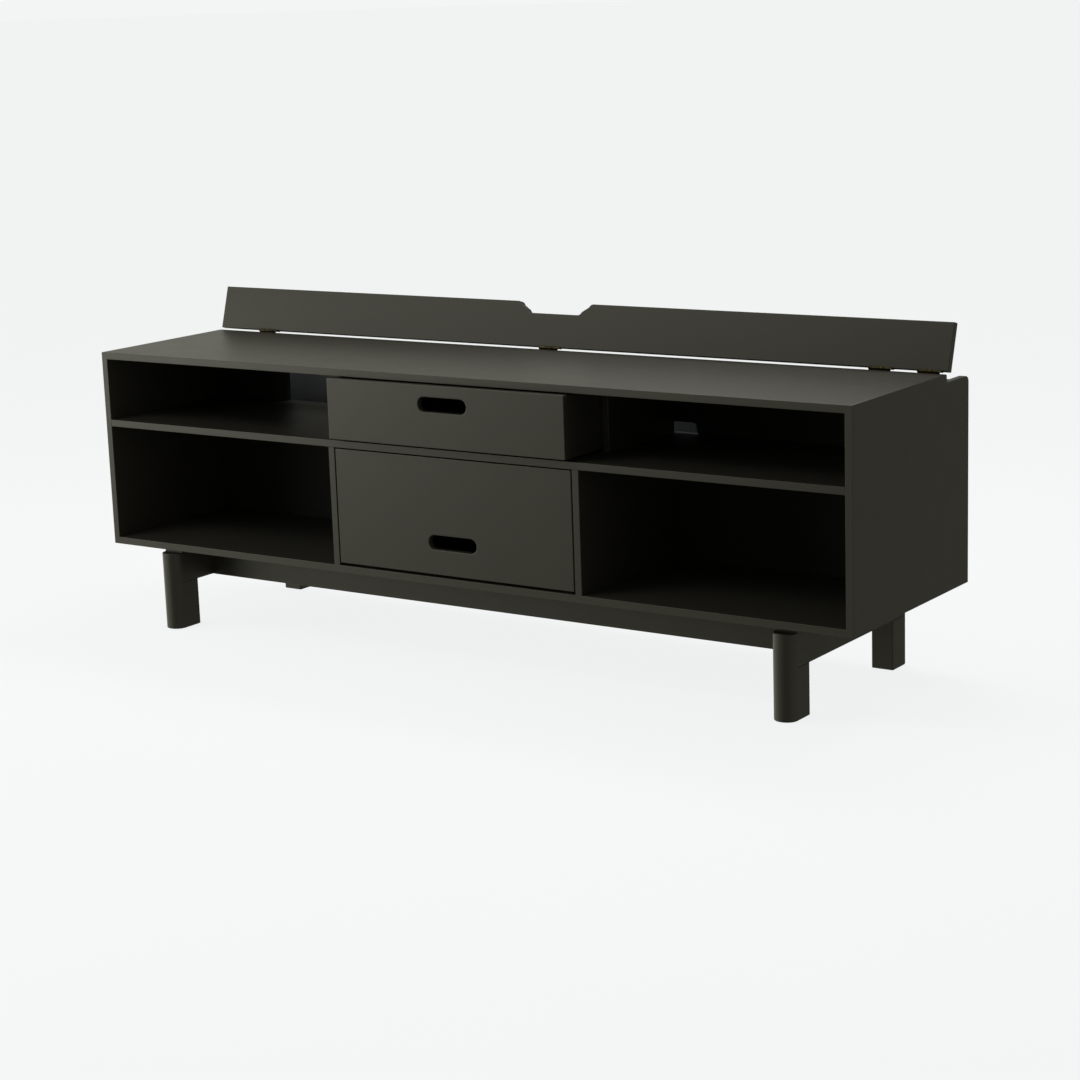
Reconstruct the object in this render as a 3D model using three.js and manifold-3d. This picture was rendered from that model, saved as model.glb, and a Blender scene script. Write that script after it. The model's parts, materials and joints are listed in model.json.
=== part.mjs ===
// A low media console: a mitred cabinet on a legged base, with open bays on both sides, two
// drawers in the middle, and a hinged flap along the back over a cable channel.
//
// Millimetres. +X is right, +Y runs from the front to the back, +Z is up. The origin is on the
// floor, in the middle of the footprint.
//
// Every fixed piece is drawn in cabinet coordinates, with 0 at the left end, at the cabinet's
// front edges and at the underside of the bottom panel. One group then moves them into place.

import * as THREE from 'three';
import { mergeVertices } from 'three/addons/utils/BufferGeometryUtils.js';
import Module from 'manifold-3d';

const wasm = await Module();
wasm.setup();

// ---------------------------------------------------------------- driving dimensions

// Cabinet
const WIDTH = 1800;
const DEPTH = 480;
const HEIGHT = 420;
const BOARD = 15;
const LEFT_BAY = 601;
const MIDDLE_BAY = 576;
const BAY_DEPTH = 350;
const SHELF_TOP = 274;
const UPPER_DIVIDER_SETBACK = 110;
const OUTER_BACK_DROP = 25;
const SIDE_REAR_RADIUS = 12;

// Base
const LEG_HEIGHT = 176;
const LEG_THICKNESS = 47;
const LEG_DEPTH = 70;
const LEG_CORNER_RADIUS = 22;
const LEG_INNER_RADIUS = 3;
const LEG_INSET = 126;
const RAIL_HEIGHT = 76;
const RAIL_SEAT_SETBACK = 24;
const SHADOW_GAP = 10;
const CROSS_RAIL_THICKNESS = 20;
const CROSS_RAIL_SETBACK = 118;
const GLIDE_RADIUS = 15;
const GLIDE_THICKNESS = 2;

// Flap and its butt hinges
const FLAP_WIDTH = 94;
const FLAP_GAP = 3;
const FLAP_OPEN_DEGREES = 73;
const FLAP_REST_GAP = 0.5;
const FLAP_NOTCH_TOP = 174;
const FLAP_NOTCH_BOTTOM = 128;
const FLAP_NOTCH_DEPTH = 24;
const FLAP_NOTCH_BLEND = 7;
const HINGE_LENGTH = 46;
const HINGE_END_INSET = 140;
const EXTRA_HINGE_INSET = 38;
const HINGE_AXIS_RISE = 4;
const KNUCKLE_RADIUS = 3.5;
const LEAF_THICKNESS = 1.1;
const LEAF_HEIGHT = 13;
const LEAF_CLEARANCE = 0.3;
const PIN_RADIUS = 1.25;
const PIN_CLEARANCE = 0.1;
const PIN_HEAD_RADIUS = 2.2;
const PIN_HEAD_LENGTH = 1.5;

// Cable openings in the inner back
const CABLE_NOTCH_TOP = 112;
const CABLE_NOTCH_BOTTOM = 125;
const CABLE_NOTCH_HEIGHT = 23;
const CABLE_NOTCH_BLEND = 4;
const BACK_WINDOW_START = 215;
const BACK_WINDOW_WIDTH = 190;
const BACK_WINDOW_HEADROOM = 20;

// Drawers
const DRAWER_SIDE_GAP = 2.5;
const DRAWER_TOP_GAP = 2;
const DRAWER_BOTTOM_GAP = 5.5;
const DRAWER_REAR_GAP = 15;
const DRAWER_WALL = 12;
const DRAWER_WALL_DROP = 3;
const DRAWER_FLOOR = 6;
const DRAWER_FLOOR_RISE = 12;
const UPPER_DRAWER_OPEN = 17;
const FINGER_SLOT_LENGTH = 116;
const FINGER_SLOT_HEIGHT = 29;
const UPPER_SLOT_BELOW_EDGE = 38;
const LOWER_SLOT_ABOVE_EDGE = 65.5;

// Drawer runners: a fixed and a moving angle, side by side under the drawer
const RUNNER_LENGTH = 300;
const RUNNER_INSET = 40;
const RUNNER_FRONT_SETBACK = 24;
const RUNNER_FLANGE = 26;
const RUNNER_PLATE = 2;
const RUNNER_WEB = 9;
const RUNNER_SIDE_CLEARANCE = 1;
const RUNNER_END_CLEARANCE = 1;

// Fineness of curves
const ARC_STEPS = 8;
const ROUND_STEPS = 24;
const GRID_PER_MM = 1024;

// ---------------------------------------------------------------- derived places

const leftDivider = [BOARD + LEFT_BAY, BOARD + LEFT_BAY + BOARD];
const rightDivider = [leftDivider[1] + MIDDLE_BAY, leftDivider[1] + MIDDLE_BAY + BOARD];
const inside = [BOARD, WIDTH - BOARD];
const innerBack = [BAY_DEPTH, BAY_DEPTH + BOARD];
const outerBack = [DEPTH - BOARD, DEPTH];
const lowerTier = [BOARD, SHELF_TOP - BOARD];
const upperTier = [SHELF_TOP, HEIGHT - BOARD];
const flapFront = DEPTH - FLAP_WIDTH;
const topDepth = flapFront - FLAP_GAP;
const hingeAxis = { y: topDepth + FLAP_GAP / 2, z: HEIGHT + HINGE_AXIS_RISE };
const baseHeight = LEG_HEIGHT + GLIDE_THICKNESS;
const legTop = -SHADOW_GAP;
const legBottom = GLIDE_THICKNESS - baseHeight;

// ---------------------------------------------------------------- materials

const paint = (color, roughness = 0.5) => new THREE.MeshStandardMaterial({ color, roughness });
const metal = (color, roughness) => new THREE.MeshStandardMaterial({ color, roughness, metalness: 1 });

const lacquer = paint('#3d3c38', 0.45);
const legLacquer = paint('#3a3936', 0.42);
const drawerBox = paint('#3a3936', 0.6);
const brass = metal('#b08d4a', 0.35);
const steel = metal('#8d9093', 0.4);
const glidePlastic = paint('#1b1b1b', 0.7);

// ---------------------------------------------------------------- geometry helpers

// Holds every coordinate to a fine grid, so faces that two boards share are identical.
function onGrid(geometry) {
  const position = geometry.attributes.position;
  for (let i = 0; i < position.array.length; i += 1) {
    position.array[i] = Math.round(position.array[i] * GRID_PER_MM) / GRID_PER_MM;
  }
  position.needsUpdate = true;
  return geometry;
}

// A square-edged board between two planes along each axis.
function board([x0, x1], [y0, y1], [z0, z1]) {
  const geometry = new THREE.BoxGeometry(x1 - x0, y1 - y0, z1 - z0);
  geometry.translate((x0 + x1) / 2, (y0 + y1) / 2, (z0 + z1) / 2);
  return onGrid(geometry);
}

// An outline drawn in the plane across `axis`, run from one place to another along it.
// The outline's own two directions are (y, z), (x, z) or (x, y).
function extrude(shape, axis, [from, to]) {
  const geometry = new THREE.ExtrudeGeometry(shape, {
    depth: to - from,
    bevelEnabled: false,
    curveSegments: ARC_STEPS,
  });
  const frames = {
    x: new THREE.Matrix4().set(0, 0, 1, from, 1, 0, 0, 0, 0, 1, 0, 0, 0, 0, 0, 1),
    y: new THREE.Matrix4().set(1, 0, 0, 0, 0, 0, -1, to, 0, 1, 0, 0, 0, 0, 0, 1),
    z: new THREE.Matrix4().set(1, 0, 0, 0, 0, 1, 0, 0, 0, 0, 1, from, 0, 0, 0, 1),
  };
  return onGrid(geometry.applyMatrix4(frames[axis]));
}

// A round bar along X, with its middle on the given axis.
function barAlongX(radius, [x0, x1], { y, z }) {
  const geometry = new THREE.CylinderGeometry(radius, radius, x1 - x0, ROUND_STEPS);
  geometry.rotateZ(Math.PI / 2);
  geometry.translate((x0 + x1) / 2, y, z);
  return geometry;
}

function toSolid(source) {
  const bare = source.clone();
  bare.deleteAttribute('normal');
  bare.deleteAttribute('uv');
  const merged = mergeVertices(bare);
  return new wasm.Manifold(new wasm.Mesh({
    numProp: 3,
    vertProperties: merged.attributes.position.array,
    triVerts: new Uint32Array(merged.index.array),
  }));
}

function fromSolid(solid) {
  const mesh = solid.getMesh();
  const geometry = new THREE.BufferGeometry();
  geometry.setAttribute('position', new THREE.BufferAttribute(new Float32Array(mesh.vertProperties), 3));
  geometry.setIndex(new THREE.BufferAttribute(new Uint32Array(mesh.triVerts), 1));
  geometry.computeVertexNormals();
  return geometry;
}

const intersect = (a, b) => fromSolid(toSolid(a).intersect(toSolid(b)));
const subtract = (a, b) => fromSolid(toSolid(a).subtract(toSolid(b)));
const unite = (...parts) => fromSolid(parts.map(toSolid).reduce((all, one) => all.add(one)));

function piece(name, geometry, material) {
  const mesh = new THREE.Mesh(geometry, material);
  mesh.name = name;
  return mesh;
}

function polygon(points) {
  return new THREE.Shape(points.map(([u, v]) => new THREE.Vector2(u, v)));
}

// A rectangle whose four corners have their own radii, from the low corner round.
function roundedRectangle([u0, u1], [v0, v1], [r00, r10, r11, r01]) {
  const shape = new THREE.Shape();
  shape.moveTo(u0 + r00, v0);
  shape.lineTo(u1 - r10, v0);
  shape.absarc(u1 - r10, v0 + r10, r10, -Math.PI / 2, 0);
  shape.lineTo(u1, v1 - r11);
  shape.absarc(u1 - r11, v1 - r11, r11, 0, Math.PI / 2);
  shape.lineTo(u0 + r01, v1);
  shape.absarc(u0 + r01, v1 - r01, r01, Math.PI / 2, Math.PI);
  shape.lineTo(u0, v0 + r00);
  shape.absarc(u0 + r00, v0 + r00, r00, Math.PI, Math.PI * 1.5);
  return shape;
}

// A slot with full-round ends, cut through a panel.
function slotPath(centreU, centreV, length, height) {
  const radius = height / 2;
  const reach = length / 2 - radius;
  const path = new THREE.Path();
  path.moveTo(centreU - reach, centreV - radius);
  path.lineTo(centreU + reach, centreV - radius);
  path.absarc(centreU + reach, centreV, radius, -Math.PI / 2, Math.PI / 2);
  path.lineTo(centreU - reach, centreV + radius);
  path.absarc(centreU - reach, centreV, radius, Math.PI / 2, Math.PI * 1.5);
  return path;
}

// Adds a shallow cable notch to an outline's edge, with an S-shaped blend at each side. The edge
// runs towards +u. The notch is `mouth` wide at the edge and `base` wide at its floor.
function addNotch(shape, centre, edge, { mouth, base, depth, blend }) {
  const direction = Math.sign(depth);
  const floor = edge + depth;
  shape.lineTo(centre - mouth / 2 - blend, edge);
  const [mouthStart, baseEnd] = [centre - mouth / 2, centre + base / 2];
  shape.quadraticCurveTo(mouthStart, edge, mouthStart + blend / 2, edge + direction * blend);
  shape.lineTo(centre - base / 2 - blend / 2, floor - direction * blend);
  shape.quadraticCurveTo(centre - base / 2, floor, centre - base / 2 + blend, floor);
  shape.lineTo(centre + base / 2 - blend, floor);
  shape.quadraticCurveTo(baseEnd, floor, baseEnd + blend / 2, floor - direction * blend);
  shape.lineTo(centre + mouth / 2 - blend / 2, edge + direction * blend);
  shape.quadraticCurveTo(centre + mouth / 2, edge, centre + mouth / 2 + blend, edge);
}

// ---------------------------------------------------------------- cabinet

// The top's ends are mitred to meet the sides.
function topPanel() {
  const lower = HEIGHT - BOARD;
  const section = polygon([[BOARD, lower], [WIDTH - BOARD, lower], [WIDTH, HEIGHT], [0, HEIGHT]]);
  return piece('top_panel', extrude(section, 'y', [0, topDepth]), lacquer);
}

function bottomPanel() {
  const section = polygon([[0, 0], [WIDTH, 0], [WIDTH - BOARD, BOARD], [BOARD, BOARD]]);
  return piece('bottom_panel', extrude(section, 'y', [0, DEPTH]), lacquer);
}

// A side is mitred top and bottom. Behind the top panel it steps down to take the closed flap,
// and its rear corner is rounded.
function sidePanel(name, outer, inner) {
  const lower = HEIGHT - BOARD;
  const section = outer < inner
    ? polygon([[outer, 0], [inner, BOARD], [inner, lower], [outer, HEIGHT]])
    : polygon([[inner, BOARD], [outer, 0], [outer, HEIGHT], [inner, lower]]);
  const rest = lower - FLAP_REST_GAP;
  const profile = new THREE.Shape();
  profile.moveTo(0, 0);
  profile.lineTo(DEPTH, 0);
  profile.lineTo(DEPTH, rest - SIDE_REAR_RADIUS);
  profile.absarc(DEPTH - SIDE_REAR_RADIUS, rest - SIDE_REAR_RADIUS, SIDE_REAR_RADIUS, 0, Math.PI / 2);
  profile.lineTo(topDepth, rest);
  profile.lineTo(topDepth, HEIGHT);
  profile.lineTo(0, HEIGHT);
  const across = [Math.min(outer, inner), Math.max(outer, inner)];
  const mitred = extrude(section, 'y', [0, DEPTH]);
  return piece(name, intersect(mitred, extrude(profile, 'x', across)), lacquer);
}

// The inner back behind the upper bays stands on the shelf. It is open behind the left bay, and
// has a cable notch at shelf level behind the right divider.
function upperInnerBack() {
  const outline = new THREE.Shape();
  const [x0, x1] = inside;
  const [z0, z1] = upperTier;
  const windowEnd = BACK_WINDOW_START + BACK_WINDOW_WIDTH;
  outline.moveTo(x0, z0);
  outline.lineTo(BACK_WINDOW_START, z0);
  outline.lineTo(BACK_WINDOW_START, z1 - BACK_WINDOW_HEADROOM);
  outline.lineTo(windowEnd, z1 - BACK_WINDOW_HEADROOM);
  outline.lineTo(windowEnd, z0);
  addNotch(outline, (rightDivider[0] + rightDivider[1]) / 2, z0, {
    mouth: CABLE_NOTCH_BOTTOM,
    base: CABLE_NOTCH_TOP,
    depth: CABLE_NOTCH_HEIGHT,
    blend: CABLE_NOTCH_BLEND,
  });
  outline.lineTo(x1, z0);
  outline.lineTo(x1, z1);
  outline.lineTo(x0, z1);
  return piece('inner_back_upper', extrude(outline, 'y', innerBack), lacquer);
}

function cabinet() {
  const group = new THREE.Group();
  const upperDepth = [UPPER_DIVIDER_SETBACK, BAY_DEPTH];
  group.add(
    topPanel(),
    bottomPanel(),
    sidePanel('side_panel_left', 0, BOARD),
    sidePanel('side_panel_right', WIDTH, WIDTH - BOARD),
    piece('shelf', board(inside, [0, innerBack[1]], [SHELF_TOP - BOARD, SHELF_TOP]), lacquer),
    piece('lower_divider_left', board(leftDivider, [0, BAY_DEPTH], lowerTier), lacquer),
    piece('lower_divider_right', board(rightDivider, [0, BAY_DEPTH], lowerTier), lacquer),
    piece('upper_divider_left', board(leftDivider, upperDepth, upperTier), lacquer),
    piece('upper_divider_right', board(rightDivider, upperDepth, upperTier), lacquer),
    piece('inner_back_lower', board(inside, innerBack, lowerTier), lacquer),
    upperInnerBack(),
    piece('outer_back', board(inside, outerBack, [BOARD, HEIGHT - OUTER_BACK_DROP]), lacquer),
  );
  return group;
}

// ---------------------------------------------------------------- base

// A leg rises in front of the side rail to just below the cabinet, and is notched behind that
// for the rail. Its outward corners are fully rounded. `front` is 1 for a front leg and -1 for
// a rear one, and `y` is its outward face.
function leg(name, [x0, x1], y, front) {
  const inward = y + front * LEG_DEPTH;
  const outer = LEG_CORNER_RADIUS;
  const inner = LEG_INNER_RADIUS;
  const section = front > 0
    ? roundedRectangle([x0, x1], [y, inward], [outer, outer, inner, inner])
    : roundedRectangle([x0, x1], [inward, y], [inner, inner, outer, outer]);
  const post = extrude(section, 'z', [legBottom, legTop]);
  const seat = [y + front * RAIL_SEAT_SETBACK, inward + front];
  const notch = board([x0 - 1, x1 + 1], [Math.min(...seat), Math.max(...seat)], [-RAIL_HEIGHT, 0]);
  return piece(name, subtract(post, notch), legLacquer);
}

function glide(name, x, y) {
  const disc = new THREE.CylinderGeometry(GLIDE_RADIUS, GLIDE_RADIUS, GLIDE_THICKNESS, ROUND_STEPS);
  disc.rotateX(Math.PI / 2);
  disc.translate(x, y, GLIDE_THICKNESS / 2 - baseHeight);
  return piece(name, onGrid(disc), glidePlastic);
}

function base() {
  const group = new THREE.Group();
  const sides = {
    left: [LEG_INSET, LEG_INSET + LEG_THICKNESS],
    right: [WIDTH - LEG_INSET - LEG_THICKNESS, WIDTH - LEG_INSET],
  };
  for (const [side, across] of Object.entries(sides)) {
    const middle = (across[0] + across[1]) / 2;
    const railRun = [RAIL_SEAT_SETBACK, DEPTH - RAIL_SEAT_SETBACK];
    group.add(
      leg(`leg_front_${side}`, across, 0, 1),
      leg(`leg_rear_${side}`, across, DEPTH, -1),
      glide(`glide_front_${side}`, middle, LEG_DEPTH / 2),
      glide(`glide_rear_${side}`, middle, DEPTH - LEG_DEPTH / 2),
      piece(`side_rail_${side}`, board(across, railRun, [-RAIL_HEIGHT, 0]), legLacquer),
    );
  }
  const between = [sides.left[1], sides.right[0]];
  const frontRail = [CROSS_RAIL_SETBACK, CROSS_RAIL_SETBACK + CROSS_RAIL_THICKNESS];
  const rearRail = [DEPTH - frontRail[1], DEPTH - frontRail[0]];
  group.add(
    piece('cross_rail_front', board(between, frontRail, [-RAIL_HEIGHT, 0]), legLacquer),
    piece('cross_rail_rear', board(between, rearRail, [-RAIL_HEIGHT, 0]), legLacquer),
  );
  return group;
}

// ---------------------------------------------------------------- flap and hinges

// Hinge pieces are drawn with the flap closed, from the hinge axis: y to the back, z up.
const axisLine = { y: 0, z: 0 };
// The right end has one hinge more.
const hingePlaces = [HINGE_END_INSET, WIDTH / 2, WIDTH - HINGE_END_INSET, WIDTH - EXTRA_HINGE_INSET];
const third = HINGE_LENGTH / 3;

// A butt-hinge leaf: an upright plate and the knuckles that it carries, bored for the pin.
function hingeLeaf([y0, y1], knuckles) {
  const half = HINGE_LENGTH / 2;
  const foot = -HINGE_AXIS_RISE - LEAF_HEIGHT;
  const others = [[-half, -third / 2], [-third / 2, third / 2], [third / 2, half]]
    .filter(([start]) => !knuckles.some(([x0]) => Math.abs(x0 - start) < third / 2));
  let leaf = toSolid(board([-half, half], [y0, y1], [foot, 0]));
  for (const [x0, x1] of others) {
    const relief = KNUCKLE_RADIUS + LEAF_CLEARANCE;
    const gap = [x0 - LEAF_CLEARANCE, x1 + LEAF_CLEARANCE];
    leaf = leaf.subtract(toSolid(board(gap, [-relief, relief], [-relief, relief])));
  }
  for (const run of knuckles) {
    leaf = leaf.add(toSolid(barAlongX(KNUCKLE_RADIUS, run, axisLine)));
  }
  const bore = barAlongX(PIN_RADIUS + PIN_CLEARANCE, [-half - 1, half + 1], axisLine);
  return fromSolid(leaf.subtract(toSolid(bore)));
}

function hingePin() {
  const half = HINGE_LENGTH / 2 + LEAF_CLEARANCE;
  const shaft = barAlongX(PIN_RADIUS, [-half - PIN_HEAD_LENGTH / 2, half + PIN_HEAD_LENGTH / 2], axisLine);
  const heads = [-1, 1].map((side) => {
    const run = side < 0 ? [-half - PIN_HEAD_LENGTH, -half] : [half, half + PIN_HEAD_LENGTH];
    return barAlongX(PIN_HEAD_RADIUS, run, axisLine);
  });
  return unite(shaft, ...heads);
}

function fixedHingeHalves() {
  const group = new THREE.Group();
  group.position.set(0, hingeAxis.y, hingeAxis.z);
  const innerFace = LEAF_CLEARANCE - FLAP_GAP / 2;
  const leafRun = [innerFace, innerFace + LEAF_THICKNESS];
  const ends = [[-HINGE_LENGTH / 2, -third / 2], [third / 2, HINGE_LENGTH / 2]];
  hingePlaces.forEach((x, index) => {
    const place = new THREE.Group();
    place.position.x = x;
    place.add(
      piece(`hinge_leaf_fixed_${index + 1}`, hingeLeaf(leafRun, ends), brass),
      piece(`hinge_pin_${index + 1}`, hingePin(), brass),
    );
    group.add(place);
  });
  return group;
}

// The flap closes the cable channel. Its free edge has one wide cable notch in the middle.
function flapPanel() {
  const outline = new THREE.Shape();
  const front = FLAP_GAP / 2;
  const rear = front + FLAP_WIDTH;
  const underside = -HINGE_AXIS_RISE - BOARD;
  outline.moveTo(0, -rear);
  addNotch(outline, WIDTH / 2, -rear, {
    mouth: FLAP_NOTCH_TOP,
    base: FLAP_NOTCH_BOTTOM,
    depth: FLAP_NOTCH_DEPTH,
    blend: FLAP_NOTCH_BLEND,
  });
  outline.lineTo(WIDTH, -rear);
  outline.lineTo(WIDTH, -front);
  outline.lineTo(0, -front);
  const slab = extrude(outline, 'z', [0, BOARD]);
  const lay = new THREE.Matrix4().set(1, 0, 0, 0, 0, -1, 0, 0, 0, 0, -1, underside + BOARD, 0, 0, 0, 1);
  return piece('flap', onGrid(slab.applyMatrix4(lay)), lacquer);
}

function flapAssembly() {
  const group = new THREE.Group();
  group.position.set(0, hingeAxis.y, hingeAxis.z);
  group.rotation.x = THREE.MathUtils.degToRad(FLAP_OPEN_DEGREES);
  const outerFace = FLAP_GAP / 2 - LEAF_CLEARANCE;
  const middle = [[-third / 2 + LEAF_CLEARANCE, third / 2 - LEAF_CLEARANCE]];
  group.add(flapPanel());
  hingePlaces.forEach((x, index) => {
    const shape = hingeLeaf([outerFace - LEAF_THICKNESS, outerFace], middle);
    const leaf = piece(`hinge_leaf_flap_${index + 1}`, shape, brass);
    leaf.position.x = x;
    group.add(leaf);
  });
  return group;
}

// ---------------------------------------------------------------- drawers

const frontRun = [leftDivider[1] + DRAWER_SIDE_GAP, rightDivider[0] - DRAWER_SIDE_GAP];
const boxRear = BAY_DEPTH - DRAWER_REAR_GAP;
const runnerRun = [BOARD + RUNNER_FRONT_SETBACK, BOARD + RUNNER_FRONT_SETBACK + RUNNER_LENGTH];

// The two angles of a runner seen from the front. The fixed one's web is at `web`, and the moving
// one's is beside it, towards the drawer's middle. `side` is -1 for the left runner, 1 for the right.
function runnerShape(web, side, foot, flangeAway, [z0, z1]) {
  const away = web + side * flangeAway * (RUNNER_FLANGE - RUNNER_WEB / 2);
  const near = web - side * flangeAway * (RUNNER_WEB / 2);
  const far = web + side * flangeAway * (RUNNER_WEB / 2);
  const flangeEdge = foot === z0 ? z0 + RUNNER_PLATE : z1 - RUNNER_PLATE;
  const tip = foot === z0 ? z1 : z0;
  const flange = [[near, foot], [away, foot], [away, flangeEdge], [far, flangeEdge]];
  return polygon([...flange, [far, tip], [near, tip]]);
}

function runnerPair(name, side, floorZ, ceilingZ) {
  const fixedWeb = side < 0 ? frontRun[0] + RUNNER_INSET : frontRun[1] - RUNNER_INSET;
  const movingWeb = fixedWeb - side * (RUNNER_WEB + RUNNER_SIDE_CLEARANCE);
  const overlap = RUNNER_PLATE + RUNNER_END_CLEARANCE;
  const fixedShape = runnerShape(fixedWeb, side, floorZ, 1, [floorZ, ceilingZ - overlap]);
  const movingShape = runnerShape(movingWeb, side, ceilingZ, -1, [floorZ + overlap, ceilingZ]);
  return {
    fixed: piece(`${name}_fixed`, extrude(fixedShape, 'y', runnerRun), steel),
    moving: piece(`${name}_moving`, extrude(movingShape, 'y', runnerRun), steel),
  };
}

// A drawer in one tier: the front with its finger slot, and a box behind it that is flush with the
// front's ends. `slotZ` is the slot's height in cabinet coordinates.
function drawer(name, [tierFloor, tierCeiling], slotZ, open) {
  const low = tierFloor + DRAWER_BOTTOM_GAP;
  const high = tierCeiling - DRAWER_TOP_GAP;
  const floorZ = [low + DRAWER_FLOOR_RISE, low + DRAWER_FLOOR_RISE + DRAWER_FLOOR];
  const wallTop = high - DRAWER_WALL_DROP;
  const within = [frontRun[0] + DRAWER_WALL, frontRun[1] - DRAWER_WALL];
  const wall = (x) => board(x, [BOARD, boxRear], [low, wallTop]);
  const face = polygon([[frontRun[0], low], [frontRun[1], low], [frontRun[1], high], [frontRun[0], high]]);
  face.holes.push(slotPath((frontRun[0] + frontRun[1]) / 2, slotZ, FINGER_SLOT_LENGTH, FINGER_SLOT_HEIGHT));

  const moving = new THREE.Group();
  moving.position.y = -open;
  moving.add(
    piece(`${name}_front`, extrude(face, 'y', [0, BOARD]), lacquer),
    piece(`${name}_side_left`, wall([frontRun[0], within[0]]), drawerBox),
    piece(`${name}_side_right`, wall([within[1], frontRun[1]]), drawerBox),
    piece(`${name}_bottom`, board(within, [BOARD, boxRear], floorZ), drawerBox),
    piece(`${name}_back`, board(within, [boxRear - DRAWER_WALL, boxRear], [floorZ[1], wallTop]), drawerBox),
  );

  const fixed = new THREE.Group();
  for (const [side, label] of [[-1, 'left'], [1, 'right']]) {
    const runner = runnerPair(`${name}_runner_${label}`, side, tierFloor, floorZ[0]);
    fixed.add(runner.fixed);
    moving.add(runner.moving);
  }
  return [moving, fixed];
}

// ---------------------------------------------------------------- whole console

const upperSlotZ = upperTier[1] - DRAWER_TOP_GAP - UPPER_SLOT_BELOW_EDGE;
const lowerSlotZ = lowerTier[0] + DRAWER_BOTTOM_GAP + LOWER_SLOT_ABOVE_EDGE;

const inPlace = new THREE.Group();
inPlace.position.set(-WIDTH / 2, (UPPER_DRAWER_OPEN - DEPTH) / 2, baseHeight);
inPlace.add(
  cabinet(),
  base(),
  fixedHingeHalves(),
  flapAssembly(),
  ...drawer('upper_drawer', upperTier, upperSlotZ, UPPER_DRAWER_OPEN),
  ...drawer('lower_drawer', lowerTier, lowerSlotZ, 0),
);

const mediaConsole = new THREE.Group();
mediaConsole.add(inPlace);

export default mediaConsole;
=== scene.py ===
"""Media console: the finished look of a low cabinet with open bays, two drawers and a rear cable flap.

Metres, +X right, +Y from the front to the back, +Z up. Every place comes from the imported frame.
"""

import json
import math

import bpy
import numpy as np
from bpy.props import FloatProperty, FloatVectorProperty, PointerProperty, StringProperty
from mathutils import Matrix, Vector


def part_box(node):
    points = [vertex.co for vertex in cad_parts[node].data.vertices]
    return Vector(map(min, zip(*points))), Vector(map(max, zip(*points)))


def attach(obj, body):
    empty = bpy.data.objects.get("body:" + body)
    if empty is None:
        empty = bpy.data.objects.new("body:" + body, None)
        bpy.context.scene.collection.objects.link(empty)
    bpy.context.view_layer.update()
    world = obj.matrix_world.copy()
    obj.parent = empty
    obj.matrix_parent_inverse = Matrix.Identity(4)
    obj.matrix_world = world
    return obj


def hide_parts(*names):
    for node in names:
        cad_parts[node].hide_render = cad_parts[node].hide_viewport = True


bl_info = {
    "name": "Media console",
    "version": (1, 0, 0),
    "blender": (4, 5, 0),
    "location": "View3D > Sidebar > Console",
    "description": "Builds a lacquered media console with drawers, a cable flap and its studio",
    "category": "Add Mesh",
}

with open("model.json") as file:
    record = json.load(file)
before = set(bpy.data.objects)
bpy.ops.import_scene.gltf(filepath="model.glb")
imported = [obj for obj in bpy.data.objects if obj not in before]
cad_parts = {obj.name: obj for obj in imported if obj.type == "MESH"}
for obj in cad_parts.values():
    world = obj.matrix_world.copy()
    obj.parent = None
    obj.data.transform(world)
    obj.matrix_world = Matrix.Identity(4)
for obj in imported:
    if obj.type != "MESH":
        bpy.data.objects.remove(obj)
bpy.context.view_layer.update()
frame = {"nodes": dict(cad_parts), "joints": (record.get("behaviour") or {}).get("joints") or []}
MM = 0.001
CABINET = "cabinet"
FLAP = "flap"
HINGE = next(joint for joint in frame["joints"] if joint["name"] == "flap_hinge")
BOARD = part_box("shelf")[1].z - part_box("shelf")[0].z
SHARP_ANGLE = math.radians(40)
# Two places that differ by less than this share of a round's radius are the same place.
SAME_PLACE = 0.001
# The sine of the least turn between two edges that counts as a corner.
LEAST_TURN = 1e-6
# The radius at which a turned shape is closed on its axis, in metres.
POLE = 1e-5


# ------------------------------------------------------------------ settings


def length(name, description, millimetres):
    return FloatProperty(
        name=name, description=description, default=millimetres * MM, min=0, unit="LENGTH",
        precision=5,
    )


def colour(name, description, hex_colour):
    return StringProperty(name=name, description=description, default=hex_colour, maxlen=7)


def amount(name, description, share):
    return FloatProperty(name=name, description=description, default=share, min=0, subtype="FACTOR")


def power(name, description, watts):
    return FloatProperty(name=name, description=description, default=watts, min=0, unit="POWER")


class CabinetSettings(bpy.types.PropertyGroup):
    corner_radius: length("Corner radius", "Round of the mitred long corners", 2.4)
    edge_radius: length("Edge radius", "Round of the boards' front edges", 1.0)
    back_edge_radius: length("Back edge radius", "Round of the outer back's top edge", 1.5)
    rear_corner_radius: length("Rear corner radius", "Round at the top rear of each side", 12)
    step_down: length("Step down", "How far each side drops behind the top panel", 15.5)
    lacquer: colour("Lacquer", "Satin lacquer on the boards, sRGB hex", "#282722")
    lacquer_roughness: amount("Lacquer roughness", "Roughness of the satin lacquer", 0.42)
    back: colour("Back", "Matt lacquer on the inner backs, sRGB hex", "#1a1a18")
    back_roughness: amount("Back roughness", "Roughness of the inner backs", 0.7)
    back_gloss: amount("Back gloss", "Specular level of the inner backs", 0.12)
    # The pale primer inside the cable channel also paints the light that falls into it.
    lit_primer: colour("Primer", "Pale primer inside the cable channel, sRGB hex", "#9a9da2")


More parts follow.
